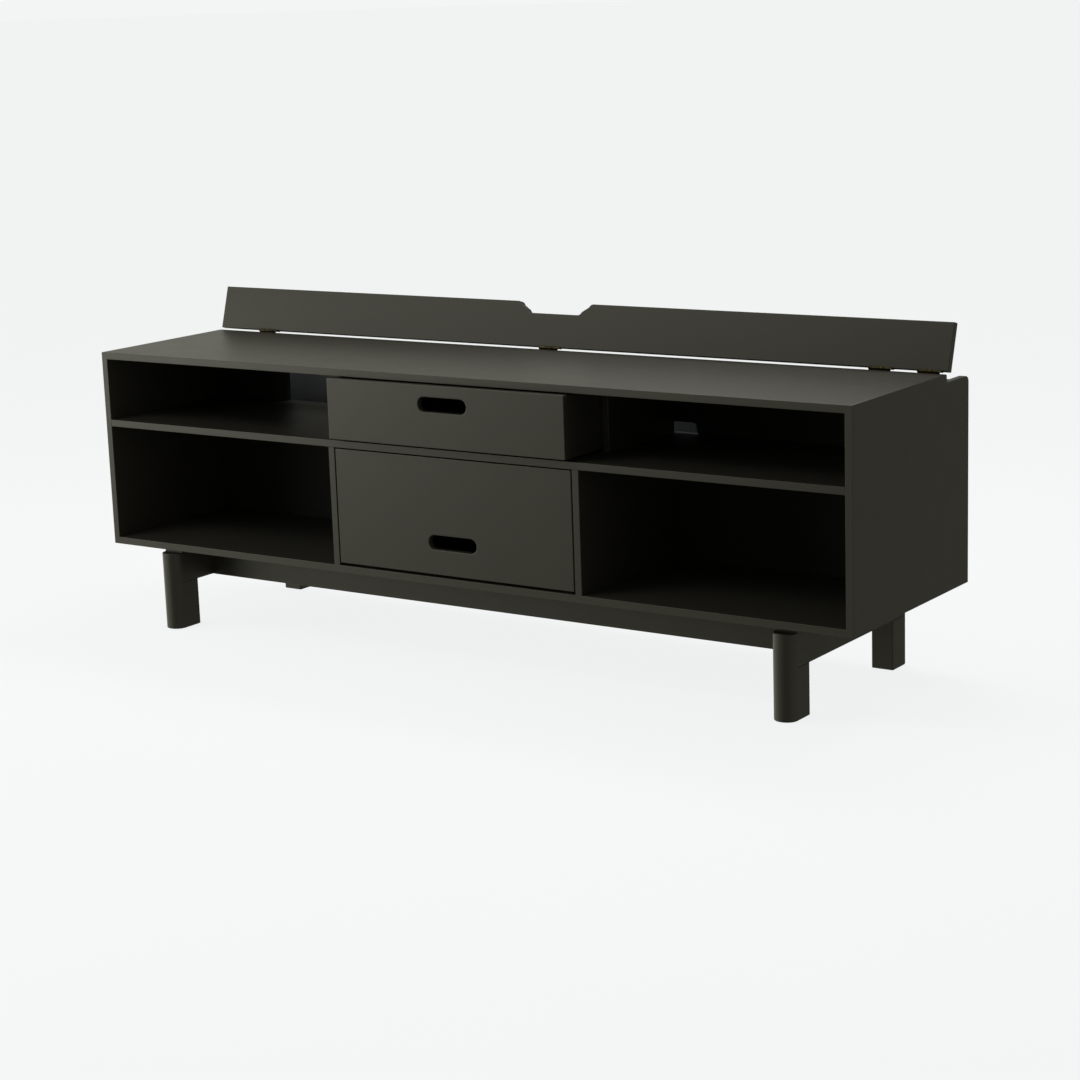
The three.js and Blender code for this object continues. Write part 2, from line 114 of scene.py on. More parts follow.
class OpeningSettings(bpy.types.PropertyGroup):
    window_start: length("Window start", "From the cabinet's left end to the back window", 215)
    window_width: length("Window width", "Width of the back window", 190)
    window_headroom: length("Window headroom", "Board left above the back window", 20)
    window_radius: length("Window radius", "Round of the back window's upper corners", 8)
    edge_radius: length("Edge radius", "Round of the openings' edges in the inner back", 1.2)
    notch_mouth: length("Notch mouth", "Cable notch's width at the shelf", 125)
    notch_floor: length("Notch floor", "Cable notch's width at its top", 112)
    notch_height: length("Notch height", "Cable notch's height", 23)
    notch_blend: length("Notch blend", "Size of its S-shaped blends", 4)
    flap_mouth: length("Flap notch mouth", "Flap notch's width at the free edge", 174)
    flap_floor: length("Flap notch floor", "Flap notch's width at its floor", 128)
    flap_depth: length("Flap notch depth", "How deep the flap notch is", 24)
    flap_blend: length("Flap notch blend", "Size of its S-shaped blends", 7)
    flap_edge_radius: length("Flap edge radius", "Round of the flap's edges", 1.4)


class DrawerSettings(bpy.types.PropertyGroup):
    slot_length: length("Slot length", "Length of a finger slot", 116)
    slot_height: length("Slot height", "Height of a finger slot", 29)
    upper_slot_drop: length("Upper slot drop", "Upper front's top edge to the slot's middle", 38)
    lower_slot_rise: length("Lower slot rise", "Lower front's bottom edge to the slot's middle", 65.5)
    slot_edge_radius: length("Slot edge radius", "Round of the slot's arris", 2.0)
    edge_radius: length("Edge radius", "Round of the fronts' edges", 1.2)
    corner_radius: length("Corner radius", "Round of a front's four corners", 1.8)
    wall_radius: length("Wall radius", "Round of the box walls' upper and lower edges", 1.5)
    # The fronts' lighter edges are wear and a painted highlight.
    edge_wear_and_highlight: amount("Edge wear", "Share of the boards' edge wear that the fronts show", 0.7)


class BaseSettings(bpy.types.PropertyGroup):
    leg_round: length("Leg round", "Radius of a leg's outward corners", 22)
    leg_arris: length("Leg arris", "Radius of a leg's inward corners", 3)
    foot_round: length("Foot round", "Round at the bottom of a leg", 1.5)
    head_round: length("Head round", "Round at the top of a leg", 1.2)
    side_rail_round: length("Side rail round", "Round of a side rail's lower edge", 1.6)
    cross_rail_round: length("Cross rail round", "Round of a cross rail's lower edge", 2.0)
    rail_seat: length("Rail seat", "From a leg's outward face to the side rail", 24)
    lacquer: colour("Lacquer", "Satin lacquer on the solid wood base, sRGB hex", "#272621")


class HardwareSettings(bpy.types.PropertyGroup):
    knuckle_radius: length("Knuckle radius", "Outside radius of a hinge's barrel", 3.5)
    knuckle_arris: length("Knuckle arris", "Bevel at a knuckle's ends", 0.4)
    knuckle_play: length("Knuckle play", "Gap between two knuckles", 0.3)
    leaf_thickness: length("Leaf thickness", "Thickness of a hinge's leaf", 1.1)
    leaf_play: length("Leaf play", "From the hinge's middle plane to each leaf", 0.1)
    leaf_corner: length("Leaf corner", "Round of a leaf's two lower corners", 1.5)
    leaf_edge: length("Leaf edge", "Round of a leaf's edges", 0.2)
    pin_head: length("Pin head", "Radius of the pin's domed head", 2.2)
    brass: colour("Brass", "Brushed brass, sRGB hex", "#b8a878")
    tarnish: amount("Tarnish", "How dark the leaves' tarnish is", 0.92)
    pin_tarnish: amount("Pin tarnish", "How dark the rubbed pins' tarnish is", 0.25)


class StageSettings(bpy.types.PropertyGroup):
    backdrop: colour("Backdrop", "Colour of the room around the console, sRGB hex", "#f3f5f5")
    room_low: FloatVectorProperty(
        name="Room, low side", description="Room light from the left, the front and below", size=3,
        default=(1.40, 0.27, 0.0),
    )
    room_high: FloatVectorProperty(
        name="Room, high side", description="Room light from the right, the rear and above", size=3,
        default=(0.62, 0.19, 0.16),
    )
    room_colour: colour("Room colour", "Warm white of the lights, sRGB hex", "#f5f4e6")
    floor_glow: amount("Floor glow", "Share of the floor's tone that is lit from below", 0.935)
    floor_paint: colour("Floor paint", "Pale matt paint over the lit floor, sRGB hex", "#5f5f5f")
    key: power("Key", "Watts of the high front softbox", 25)
    low: power("Low", "Watts of the low left softbox", 34)
    rear: power("Rear", "Watts of the high rear softbox", 29)
    camera_place: FloatVectorProperty(
        name="Camera place", description="Where the camera stands", size=3, subtype="TRANSLATION",
        default=(2.8677, -4.0363, 1.3116),
    )
    camera_heading: FloatProperty(
        name="Heading", description="Turn to the left from looking along +Y", subtype="ANGLE",
        default=math.radians(34.741),
    )
    camera_drop: FloatProperty(
        name="Drop", description="How far the camera looks down", subtype="ANGLE",
        default=math.radians(12.402),
    )
    camera_roll: FloatProperty(
        name="Roll", description="Turn about the line of sight, clockwise", subtype="ANGLE",
        default=math.radians(1.960),
    )
    camera_lens: FloatProperty(
        name="Lens", description="Focal length in millimetres on a 36 mm sensor", default=82.31
    )


# ------------------------------------------------------------------ outlines and meshes


def ranges(node):
    """The three (low, high) pairs of a CAD node's box."""
    low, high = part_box(node)
    return tuple((low[i], high[i]) for i in range(3))


def arc(centre, radius, start, end, steps=6):
    """Points at centre + radius * (cos t, sin t) with t in equal steps, in degrees."""
    t = np.radians(np.linspace(start, end, steps + 1))
    return np.column_stack([centre[0] + radius * np.cos(t), centre[1] + radius * np.sin(t)])


def rectangle(u, v):
    return np.array([[u[0], v[0]], [u[1], v[0]], [u[1], v[1]], [u[0], v[1]]])


def rounded_rectangle(u, v, radii, steps=6):
    """Corners as quarter arcs, in the order low-low, high-low, high-high, low-high."""
    r = radii
    return np.vstack([
        arc((u[0] + r[0], v[0] + r[0]), r[0], 180, 270, steps),
        arc((u[1] - r[1], v[0] + r[1]), r[1], 270, 360, steps),
        arc((u[1] - r[2], v[1] - r[2]), r[2], 0, 90, steps),
        arc((u[0] + r[3], v[1] - r[3]), r[3], 90, 180, steps),
    ])


def bend(start, control, end, steps=6):
    """A parabola: (1-t)^2 start + 2t(1-t) control + t^2 end, with t from 0 to 1."""
    t = np.linspace(0, 1, steps + 1)[:, None]
    a, b, c = (np.array(p, float) for p in (start, control, end))
    return (1 - t) ** 2 * a + 2 * t * (1 - t) * b + t**2 * c


def notch(centre, edge, mouth, floor, depth, blend):
    """A shallow trapezium cut into an edge that runs towards +u, with four parabolic blends.
    A negative depth cuts towards -v."""
    s = math.copysign(1, depth)
    lip, foot = -mouth / 2, -floor / 2
    half = np.vstack([
        bend((lip - blend, 0), (lip, 0), (lip + blend / 2, s * blend)),
        bend((foot - blend / 2, depth - s * blend), (foot, depth), (foot + blend, depth)),
    ])
    whole = np.vstack([half, half[::-1] * (-1, 1)])
    return whole + (centre, edge)


def inset(outline, amounts):
    """Moves each edge of a counter-clockwise outline inwards by its own amount, edge i running
    from point i to point i+1. A corner lands where its two moved edges cross: p - M^-1 (a, b),
    with M the rows of the two outward normals. Amounts may be M x N for M outlines at once."""
    step = np.roll(outline, -1, axis=0) - outline
    normal = np.column_stack([step[:, 1], -step[:, 0]]) / np.linalg.norm(step, axis=1)[:, None]
    before = np.roll(normal, 1, axis=0)
    amounts = np.broadcast_to(amounts, np.shape(amounts)[:-1] + (len(outline),))
    earlier = np.roll(amounts, 1, axis=-1)
    cross = before[:, 0] * normal[:, 1] - before[:, 1] * normal[:, 0]
    straight = np.abs(cross) < LEAST_TURN
    safe = np.where(straight, 1, cross)
    du = (earlier * normal[:, 1] - amounts * before[:, 1]) / safe
    dv = (amounts * before[:, 0] - earlier * normal[:, 0]) / safe
    du = np.where(straight, amounts * normal[:, 0], du)
    dv = np.where(straight, amounts * normal[:, 1], dv)
    return outline - np.stack([du, dv], axis=-1)


def edge_round(depth, radius, steps=4):
    """Depths through a board and the edge's inset at each: a quarter circle at both faces.
    inset = r (1 - sin t) at depth r (1 - cos t)."""
    t = np.linspace(0, math.pi / 2, steps + 1)
    down, back = radius * (1 - np.cos(t)), radius * (1 - np.sin(t))
    return np.concatenate([down, depth - down[::-1]]), np.concatenate([back, back[::-1]])


def on_round(back, radius):
    """True where an inset is less than the round's radius, so the place is off the flat face."""
    return back < radius * (1 - SAME_PLACE)


def stand_up(flat, along, axis):
    """Puts outline points (u, v) in the plane across an axis, at the given places along it.
    The outline's directions are (y, z), (x, z) or (x, y)."""
    places = np.broadcast_to(np.asarray(along)[:, None], flat.shape[:2])
    parts = {"x": (places, flat[..., 0], flat[..., 1]), "y": (flat[..., 0], places, flat[..., 1])}
    parts["z"] = (flat[..., 0], flat[..., 1], places)
    return np.stack(parts[axis], axis=-1)


def shell(loops, ring=False):
    """Vertices and faces of M loops of N points. Each loop is joined to the next by quads. The
    ends are closed by one face each, or the last loop joins the first if it is a ring."""
    m, n = loops.shape[:2]
    index = np.arange(m * n).reshape(m, n)
    following = np.roll(index, -1, axis=0) if ring else index[1:]
    here = index if ring else index[:-1]
    around = [here, np.roll(here, -1, 1), np.roll(following, -1, 1), following]
    quads = np.stack(around, -1).reshape(-1, 4)
    faces = quads.tolist()
    triangles = [quads[:, [0, 1, 2]], quads[:, [0, 2, 3]]]
    if not ring:
        for cap in (index[0][::-1], index[-1]):
            faces.append(cap.tolist())
            triangles.append(np.column_stack([np.full(n - 2, cap[0]), cap[1:-1], cap[2:]]))
    points = loops.reshape(-1, 3)
    a, b, c = (points[np.vstack(triangles)[:, i]] for i in range(3))
    if np.sum(a * np.cross(b, c)) < 0:
        faces = [face[::-1] for face in faces]
    return points, faces


def piece(name, shells, body, nodes, material, rim=None):
    """One object from one or more closed shells. rim is 1 at vertices on a rounded edge. Its
    normals are weighted by face area, so that flat faces stay flat beside narrow rounds."""
    points = np.vstack([s[0] for s in shells])
    starts = np.cumsum([0] + [len(s[0]) for s in shells[:-1]])
    faces = [[i + start for i in face] for s, start in zip(shells, starts) for face in s[1]]
    mesh = bpy.data.meshes.new(name)
    mesh.from_pydata(points.tolist(), [], faces)
    mesh.polygons.foreach_set("use_smooth", np.ones(len(mesh.polygons), bool))
    mesh.set_sharp_from_angle(angle=SHARP_ANGLE)
    edge = mesh.attributes.new("rim", "FLOAT", "POINT")
    edge.data.foreach_set("value", (np.zeros(len(points)) if rim is None else rim).astype(np.float32))
    mesh.materials.append(material)
    made = bpy.data.objects.new(name, mesh)
    bpy.context.scene.collection.objects.link(made)
    normals = made.modifiers.new("Flat faces stay flat", "WEIGHTED_NORMAL")
    normals.weight = 100
    normals.keep_sharp = True
    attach(made, body)
    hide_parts(*nodes)
    return made


def prime_and_light(made, direction):
    """Marks the faces that look along a direction for the pale primer, which also paints the
    light in the cable channel: their normal's share of it is over 0.9.
    """
    mesh = made.data
    normals = np.empty(len(mesh.polygons) * 3)
    mesh.polygons.foreach_get("normal", normals)
    facing = normals.reshape(-1, 3) @ np.array(direction) > 0.9
    mesh.attributes.new("primed", "FLOAT", "FACE").data.foreach_set("value", facing.astype(np.float32))


def slab(outline, axis, span, radius, free=1.0):
    """A board: the outline carried through its thickness, its free edges rounded at both faces.
    free says per edge how much of the round it takes. Returns the shell and each vertex's rim."""
    depth, back = edge_round(span[1] - span[0], radius)
    free = np.broadcast_to(free, len(outline))
    loops = stand_up(inset(outline, back[:, None] * free), span[0] + depth, axis)
    rim = on_round(back, radius)[:, None] * (free * np.roll(free, 1))
    return shell(loops), rim.reshape(-1)


def add_board(name, node, axis, free, radius, material, body=CABINET):
    """A rectangular board in its node's box. free names the edges that are rounded: the low and
    high side of each of the outline's two directions, as in ("u0", "u1", "v0", "v1")."""
    x, y, z = ranges(node)
    u, v, span = {"x": (y, z, x), "y": (x, z, y), "z": (x, y, z)}[axis]
    order = ("v0", "u1", "v1", "u0")
    shares = np.array([1.0 if side in free else 0.0 for side in order])
    body_shell, rim = slab(rectangle(u, v), axis, span, radius, shares)
    return piece(name, [body_shell], body, [node], material, rim)


def revolve(profile, centre, axis, steps=32):
    """Turns (radius, place) points about an axis through the centre. A point is at
    centre + place * axis + radius * (cos t, sin t) across it. Both ends close on the axis."""
    t = np.linspace(0, 2 * math.pi, steps, endpoint=False)
    r, p = np.array(profile, float).T
    circle = np.stack([np.cos(t), np.sin(t)], -1)
    flat = r[:, None, None] * circle[None]
    return shell(stand_up(flat, p, axis) + np.array(centre, float))


# ------------------------------------------------------------------ materials

# A lacquer's pigment warms its reflections a little.
WARM_SHEEN = {"Specular Tint": (1.0, 0.99, 0.86, 1.0)}
LACQUER_IOR = 1.42
# From Min and From Max of a Map Range node: nearly all of a noise lies between them.
NOISE_RANGE = {1: 0.3, 2: 0.7}


def linear(hex_colour):
    """sRGB hex to linear RGBA: (c/12.92) below 0.04045, else ((c+0.055)/1.055)^2.4."""
    c = np.array([int(hex_colour[i:i + 2], 16) for i in (1, 3, 5)]) / 255
    rgb = np.where(c <= 0.04045, c / 12.92, ((c + 0.055) / 1.055) ** 2.4)
    return (*rgb.tolist(), 1.0)


def shade(rgba, factor):
    return (*(min(c * factor, 1.0) for c in rgba[:3]), 1.0)


def add(tree, kind, inputs=None, **settings):
    """Adds a node, sets its properties, and fills or links its inputs by name or number."""
    node = tree.nodes.new(kind)
    for key, value in settings.items():
        setattr(node, key, value)
    for key, value in (inputs or {}).items():
        if isinstance(value, bpy.types.NodeSocket):
            tree.links.new(value, node.inputs[key])
        else:
            node.inputs[key].default_value = value
    return node


def start_material(name, **principled):
    material = bpy.data.materials.new(name)
    material.use_nodes = True
    tree = material.node_tree
    tree.nodes.clear()
    shader = add(tree, "ShaderNodeBsdfPrincipled", principled)
    add(tree, "ShaderNodeOutputMaterial", {"Surface": shader.outputs[0]})
    where = add(tree, "ShaderNodeTexCoord").outputs["Object"]
    return material, tree, shader, where


def mottled(tree, where, base, period, swing, detail=2):
    """The colour, lighter and darker by a share of itself in patches of `period` millimetres."""
    noise = {"Vector": where, "Scale": 1000 / period, "Detail": detail}
    drift = add(tree, "ShaderNodeTexNoise", noise).outputs["Fac"]
    patches = add(tree, "ShaderNodeMapRange", {0: drift, **NOISE_RANGE, 3: 0, 4: 1}).outputs[0]
    tones = {0: patches, 6: shade(base, 1 - swing), 7: shade(base, 1 + swing)}
    return add(tree, "ShaderNodeMix", tones, data_type="RGBA").outputs[2]


def worn_and_highlit_edges(tree, film, wear_and_highlight, bare_and_lit):
    """The film's colour, mixed with a lighter one by a share of the mesh's rim: wear on the
    rounded edges, and a painted highlight along them.
    """
    rim = add(tree, "ShaderNodeAttribute", attribute_name="rim").outputs["Fac"]
    worn_and_highlit = add(tree, "ShaderNodeMath", {0: rim, 1: wear_and_highlight}, operation="MULTIPLY").outputs[0]
    return add(tree, "ShaderNodeMix", {0: worn_and_highlit, 6: film, 7: bare_and_lit}, data_type="RGBA").outputs[2]


def satin_lacquered_mdf(name, hex_colour, roughness, lit_primer=None, gloss=0.5):
    """Sprayed and flatted lacquer on MDF: an even, dark sheen with the faint ripple that a spray
    gun leaves, and lighter edges where the film is thinner and polished by hands, with a highlight
    painted along them. Less gloss makes it a matt film. Where the mesh says that a face is primed,
    it has only the paler, cool primer, which also paints the light that falls into the cable channel."""
    base = linear(hex_colour)
    reflection = {"Specular IOR Level": gloss, **WARM_SHEEN}
    material, tree, shader, where = start_material(name, IOR=LACQUER_IOR, **reflection)
    film = mottled(tree, where, base, period=140, swing=0.03, detail=3)
    # Lighter rounded edges: wear, and a painted highlight along them.
    coat = worn_and_highlit_edges(tree, film, wear_and_highlight=0.6, bare_and_lit=shade(base, 1.3))
    # Primed faces take the pale primer, which also paints the light that falls into the cable channel.
    if lit_primer:
        bare_and_lit = add(tree, "ShaderNodeAttribute", attribute_name="primed").outputs["Fac"]
        tones = {0: bare_and_lit, 6: coat, 7: linear(lit_primer)}
        coat = add(tree, "ShaderNodeMix", tones, data_type="RGBA").outputs[2]
    tree.links.new(coat, shader.inputs["Base Color"])

    # The sheen is a little uneven over about 60 mm.
    uneven = 0.015
    noise = {"Vector": where, "Scale": 1000 / 60}
    patches = add(tree, "ShaderNodeTexNoise", noise).outputs["Fac"]
    bounds = {0: patches, **NOISE_RANGE, 3: roughness - uneven, 4: roughness + uneven}
    sheen = add(tree, "ShaderNodeMapRange", bounds).outputs[0]
    tree.links.new(sheen, shader.inputs["Roughness"])

    # The real ripple has a period near 1.5 mm. It is drawn at 5 mm so that it shows.
    noise = {"Vector": where, "Scale": 1000 / 5, "Detail": 1}
    ripple = add(tree, "ShaderNodeTexNoise", noise).outputs["Fac"]
    bump = add(tree, "ShaderNodeBump", {"Height": ripple, "Strength": 0.25, "Distance": 0.12 * MM})
    tree.links.new(bump.outputs[0], shader.inputs["Normal"])
    return material


def satin_lacquered_beech(name, hex_colour, grain):
    """Sprayed lacquer on solid beech: the same film, but the closed grain still prints through
    as fine lines along the wood. `grain` is the direction that the lines run in."""
    base = linear(hex_colour)
    material, tree, shader, where = start_material(name, IOR=LACQUER_IOR, **WARM_SHEEN)

    # Real beech has finer lines. These stand 1.6 mm apart and run for about 90 mm, so that they
    # show.
    periods = [1.6, 1.6, 1.6]
    periods["xyz".index(grain)] = 90
    placing = {"Vector": where, "Scale": tuple(1000 / period for period in periods)}
    along = add(tree, "ShaderNodeMapping", placing).outputs[0]
    noise = {"Vector": along, "Scale": 1, "Detail": 3, "Roughness": 0.6}
    lines = add(tree, "ShaderNodeTexNoise", noise).outputs["Fac"]

    film = mottled(tree, where, base, period=90, swing=0.07)
    # Lighter rounded edges: wear, and a painted highlight along them.
    coat = worn_and_highlit_edges(tree, film, wear_and_highlight=0.5, bare_and_lit=shade(base, 1.35))
    tree.links.new(coat, shader.inputs["Base Color"])
    bounds = {0: lines, **NOISE_RANGE, 3: 0.36, 4: 0.46}
    sheen = add(tree, "ShaderNodeMapRange", bounds).outputs[0]
    tree.links.new(sheen, shader.inputs["Roughness"])
    bump = add(tree, "ShaderNodeBump", {"Height": lines, "Strength": 0.35, "Distance": 0.12 * MM})
    tree.links.new(bump.outputs[0], shader.inputs["Normal"])
    return material


def brushed_brass(name, hex_colour, tarnished):
    """Rolled and brushed brass: warm highlights, and brown to black where it has tarnished."""
    base = linear(hex_colour)
    clean = 1 - tarnished
    dull, bright = 0.2 * clean, 1.5 * clean
    material, tree, shader, where = start_material(name, Metallic=1.0)

    noise = {"Vector": where, "Scale": 1000 / 9, "Detail": 3}
    spots = add(tree, "ShaderNodeTexNoise", noise).outputs["Fac"]
    tarnish = add(tree, "ShaderNodeMapRange", {0: spots, **NOISE_RANGE, 3: 0, 4: 1}).outputs[0]
    tones = {0: tarnish, 6: shade(base, dull), 7: shade(base, bright)}
    metal = add(tree, "ShaderNodeMix", tones, data_type="RGBA").outputs[2]
    tree.links.new(metal, shader.inputs["Base Color"])

    # Real brush lines are finer. These stand 0.4 mm apart and run for about 12 mm along the
    # leaf, so that they show.
    placing = {"Vector": where, "Scale": tuple(1000 / period for period in (12, 0.4, 0.4))}
    along = add(tree, "ShaderNodeMapping", placing).outputs[0]
    brush = add(tree, "ShaderNodeTexNoise", {"Vector": along, "Scale": 1}).outputs["Fac"]
    bounds = {0: brush, **NOISE_RANGE, 3: 0.26, 4: 0.42}
    sheen = add(tree, "ShaderNodeMapRange", bounds).outputs[0]
    tree.links.new(sheen, shader.inputs["Roughness"])
    bump = add(tree, "ShaderNodeBump", {"Height": brush, "Strength": 0.3, "Distance": 0.04 * MM})
    tree.links.new(bump.outputs[0], shader.inputs["Normal"])
    return material


def zinc_plated_steel(name):
    """Roll-formed steel with a thin zinc plate: cool grey with a faint cloudy spangle."""
    material, tree, shader, where = start_material(name, Metallic=1.0)
    # The spangle's crystals are 7 mm across.
    cells = {"Vector": where, "Scale": 1000 / 7}
    spangle = add(tree, "ShaderNodeTexVoronoi", cells).outputs["Color"]
    grey = add(tree, "ShaderNodeRGBToBW", {"Color": spangle}).outputs[0]
    tones = {0: grey, 6: linear("#7e8285"), 7: linear("#9a9da0")}
    plate = add(tree, "ShaderNodeMix", tones, data_type="RGBA").outputs[2]
    tree.links.new(plate, shader.inputs["Base Color"])
    bounds = {0: grey, **NOISE_RANGE, 3: 0.34, 4: 0.48}
    sheen = add(tree, "ShaderNodeMapRange", bounds).outputs[0]
    tree.links.new(sheen, shader.inputs["Roughness"])
    return material


def moulded_polyamide(name):
    """Injection-moulded black polyamide with a spark-eroded grain: dull, slightly grey."""
    material, tree, shader, where = start_material(name, IOR=1.53, Roughness=0.62)
    # Real spark-eroded pits are finer. These stand 1.2 mm apart, so that they show.
    pits = add(tree, "ShaderNodeTexNoise", {"Vector": where, "Scale": 1000 / 1.2}).outputs["Fac"]
    tones = {0: pits, 6: linear("#151515"), 7: linear("#232323")}
    tone = add(tree, "ShaderNodeMix", tones, data_type="RGBA").outputs[2]
    tree.links.new(tone, shader.inputs["Base Color"])
    bump = add(tree, "ShaderNodeBump", {"Height": pits, "Strength": 0.4, "Distance": 0.06 * MM})
    tree.links.new(bump.outputs[0], shader.inputs["Normal"])
    return material


def lit_acrylic_floor(name, backdrop, paint, glow):
    """A matt white acrylic floor lit from below: pale and even, with faint soft shadows and a very
    slight cloudiness in the sheet."""
    matt = {"Roughness": 0.95, "Specular IOR Level": 0.0}
    material, tree, shader, where = start_material(name, **matt)
    tone = mottled(tree, where, linear(paint), period=900, swing=0.02)
    tree.links.new(tone, shader.inputs["Base Color"])
    shader.inputs["Emission Color"].default_value = linear(backdrop)
    shader.inputs["Emission Strength"].default_value = glow
    return material


def once(name, make, *values):
    """The named material, made the first time that it is asked for."""
    return bpy.data.materials.get(name) or make(name, *values)


def board_lacquer(scene):
    look = scene.console_cabinet
    return once("satin lacquered MDF", satin_lacquered_mdf, look.lacquer, look.lacquer_roughness)


def upright_beech(scene):
    return once("satin lacquered beech, upright", satin_lacquered_beech, scene.console_base.lacquer, "z")


# ------------------------------------------------------------------ operators


def mitred_board(outline, kinds, axis, outer, inner, radius, corner):
    """A board carried from its outer face to its inner one, with each edge mitred, rounded or
    square. A rounded edge is a quarter circle at both faces. A mitred one follows half of the
    corner's round, R - sqrt(R^2 - (R - d)^2) at depth d, and from its 45 degree point the mitre,
    which is d itself. The board that it meets holds the other half."""
    total = abs(inner - outer)
    turn = corner * (1 - math.sqrt(0.5))
    depth = np.unique(np.concatenate([edge_round(total, radius)[0], np.linspace(0, turn, 5)]))
    near = np.clip(radius - np.minimum(depth, total - depth), 0, radius)
    inside = np.clip(corner - depth, 0, corner)
    ways = {
        "round": radius - np.sqrt(radius**2 - near**2),
        "mitre": np.where(depth < turn, corner - np.sqrt(corner**2 - inside**2), depth),
        "square": 0 * depth,
    }
    edged = {"round": near > 0, "mitre": depth <= turn * (1 + SAME_PLACE), "square": depth < 0}
    amounts = np.stack([ways[kind] for kind in kinds], -1)
    # The rounds and the mitres' round halves are painted lighter: wear, and a painted highlight.
    worn_and_highlit = np.stack([edged[kind] for kind in kinds], -1)
    loops = stand_up(inset(outline, amounts), outer + depth * np.sign(inner - outer), axis)
    return shell(loops), (worn_and_highlit | np.roll(worn_and_highlit, 1, -1)).astype(float).reshape(-1)


class CONSOLE_OT_cabinet(bpy.types.Operator):
    """Builds the cabinet's boards: mitred shell, shelf, dividers and backs"""

    bl_idname = "console.cabinet"
    bl_label = "Cabinet boards"

    def execute(self, context):
        look = context.scene.console_cabinet
        cuts = context.scene.console_openings
        lacquer = board_lacquer(context.scene)
        edge, corner = look.edge_radius, look.corner_radius

        for name, outer_is_high in (("top_panel", True), ("bottom_panel", False)):
            x, y, z = ranges(name)
            outer, inner = (z[1], z[0]) if outer_is_high else (z[0], z[1])
            kinds = ("round", "mitre", "round", "mitre")
            made, rim = mitred_board(rectangle(x, y), kinds, "z", outer, inner, edge, corner)
            piece(f"look_{name}", [made], CABINET, [name], lacquer, rim)

        top_rear = ranges("top_panel")[1][1]
        for side in ("left", "right"):
            node = f"side_panel_{side}"
            x, y, z = ranges(node)
            outer, inner = (x[0], x[1]) if side == "left" else (x[1], x[0])
            r = look.rear_corner_radius
            rest = z[1] - look.step_down
            crown = arc((y[1] - r, rest - r), r, 0, 90, 8)
            outline = np.vstack([
                [[y[0], z[0]], [y[1], z[0]]], crown, [[top_rear, rest], [top_rear, z[1]], [y[0], z[1]]]
            ])
            kinds = ["mitre"] + ["round"] * (len(outline) - 4) + ["square", "mitre", "round"]
            made, rim = mitred_board(outline, kinds, "x", outer, inner, edge, corner)
            piece(f"look_{node}", [made], CABINET, [node], lacquer, rim)

        add_board("look_shelf", "shelf", "z", ("v0",), edge, lacquer)
        for tier in ("lower", "upper"):
            for side in ("left", "right"):
                node = f"{tier}_divider_{side}"
                add_board(f"look_{node}", node, "x", ("u0",), edge, lacquer)
        finish = (look.back, look.back_roughness, look.lit_primer, look.back_gloss)
        matt = once("matt lacquered MDF, primed behind", satin_lacquered_mdf, *finish)
        add_board("look_inner_back_lower", "inner_back_lower", "y", (), edge, matt)
        finish = (look.lacquer, look.lacquer_roughness, look.lit_primer)
        satin = once("satin lacquered MDF, primed inside", satin_lacquered_mdf, *finish)
        rear = add_board(
            "look_outer_back", "outer_back", "y", ("v1",), look.back_edge_radius, satin
        )
        # The cable channel's faces are primed pale, which also paints the light that falls into it.
        prime_and_light(rear, (0, -1, 0))
        prime_and_light(self.inner_back(cuts, matt), (0, 1, 0))
        return {"FINISHED"}

    def inner_back(self, cuts, finish):
        """The upper inner back, with its window behind the left bay and its cable notch."""
        x, y, z = ranges("inner_back_upper")
        start = ranges("side_panel_left")[0][0] + cuts.window_start
        end = start + cuts.window_width
        lintel = z[1] - cuts.window_headroom
        divider = ranges("upper_divider_right")[0]
        r = cuts.window_radius
        window = np.vstack([
            [[start, z[0]]],
            arc((start + r, lintel - r), r, 180, 90),
            arc((end - r, lintel - r), r, 90, 0),
            [[end, z[0]]],
        ])
        sizes = (cuts.notch_mouth, cuts.notch_floor, cuts.notch_height, cuts.notch_blend)
        hole = notch(sum(divider) / 2, z[0], *sizes)
        outline = np.vstack([[[x[0], z[0]]], window, hole, [[x[1], z[0]], [x[1], z[1]], [x[0], z[1]]]])
        free = np.zeros(len(outline))
        free[1:len(window)] = 1
        free[1 + len(window):len(window) + len(hole)] = 1
        made, rim = slab(outline, "y", y, cuts.edge_radius, free)
        node = "inner_back_upper"
        return piece(f"look_{node}", [made], CABINET, [node], finish, rim)


def open_flap(points):
    """Turns points that are drawn for the closed flap, from the hinge axis, to the open pose."""
    turn = Matrix.Rotation(math.radians(-HINGE["range_deg"][0]), 3, "X")
    return points @ np.array(turn).T + np.array([0, HINGE["pos_m"][1], HINGE["pos_m"][2]])


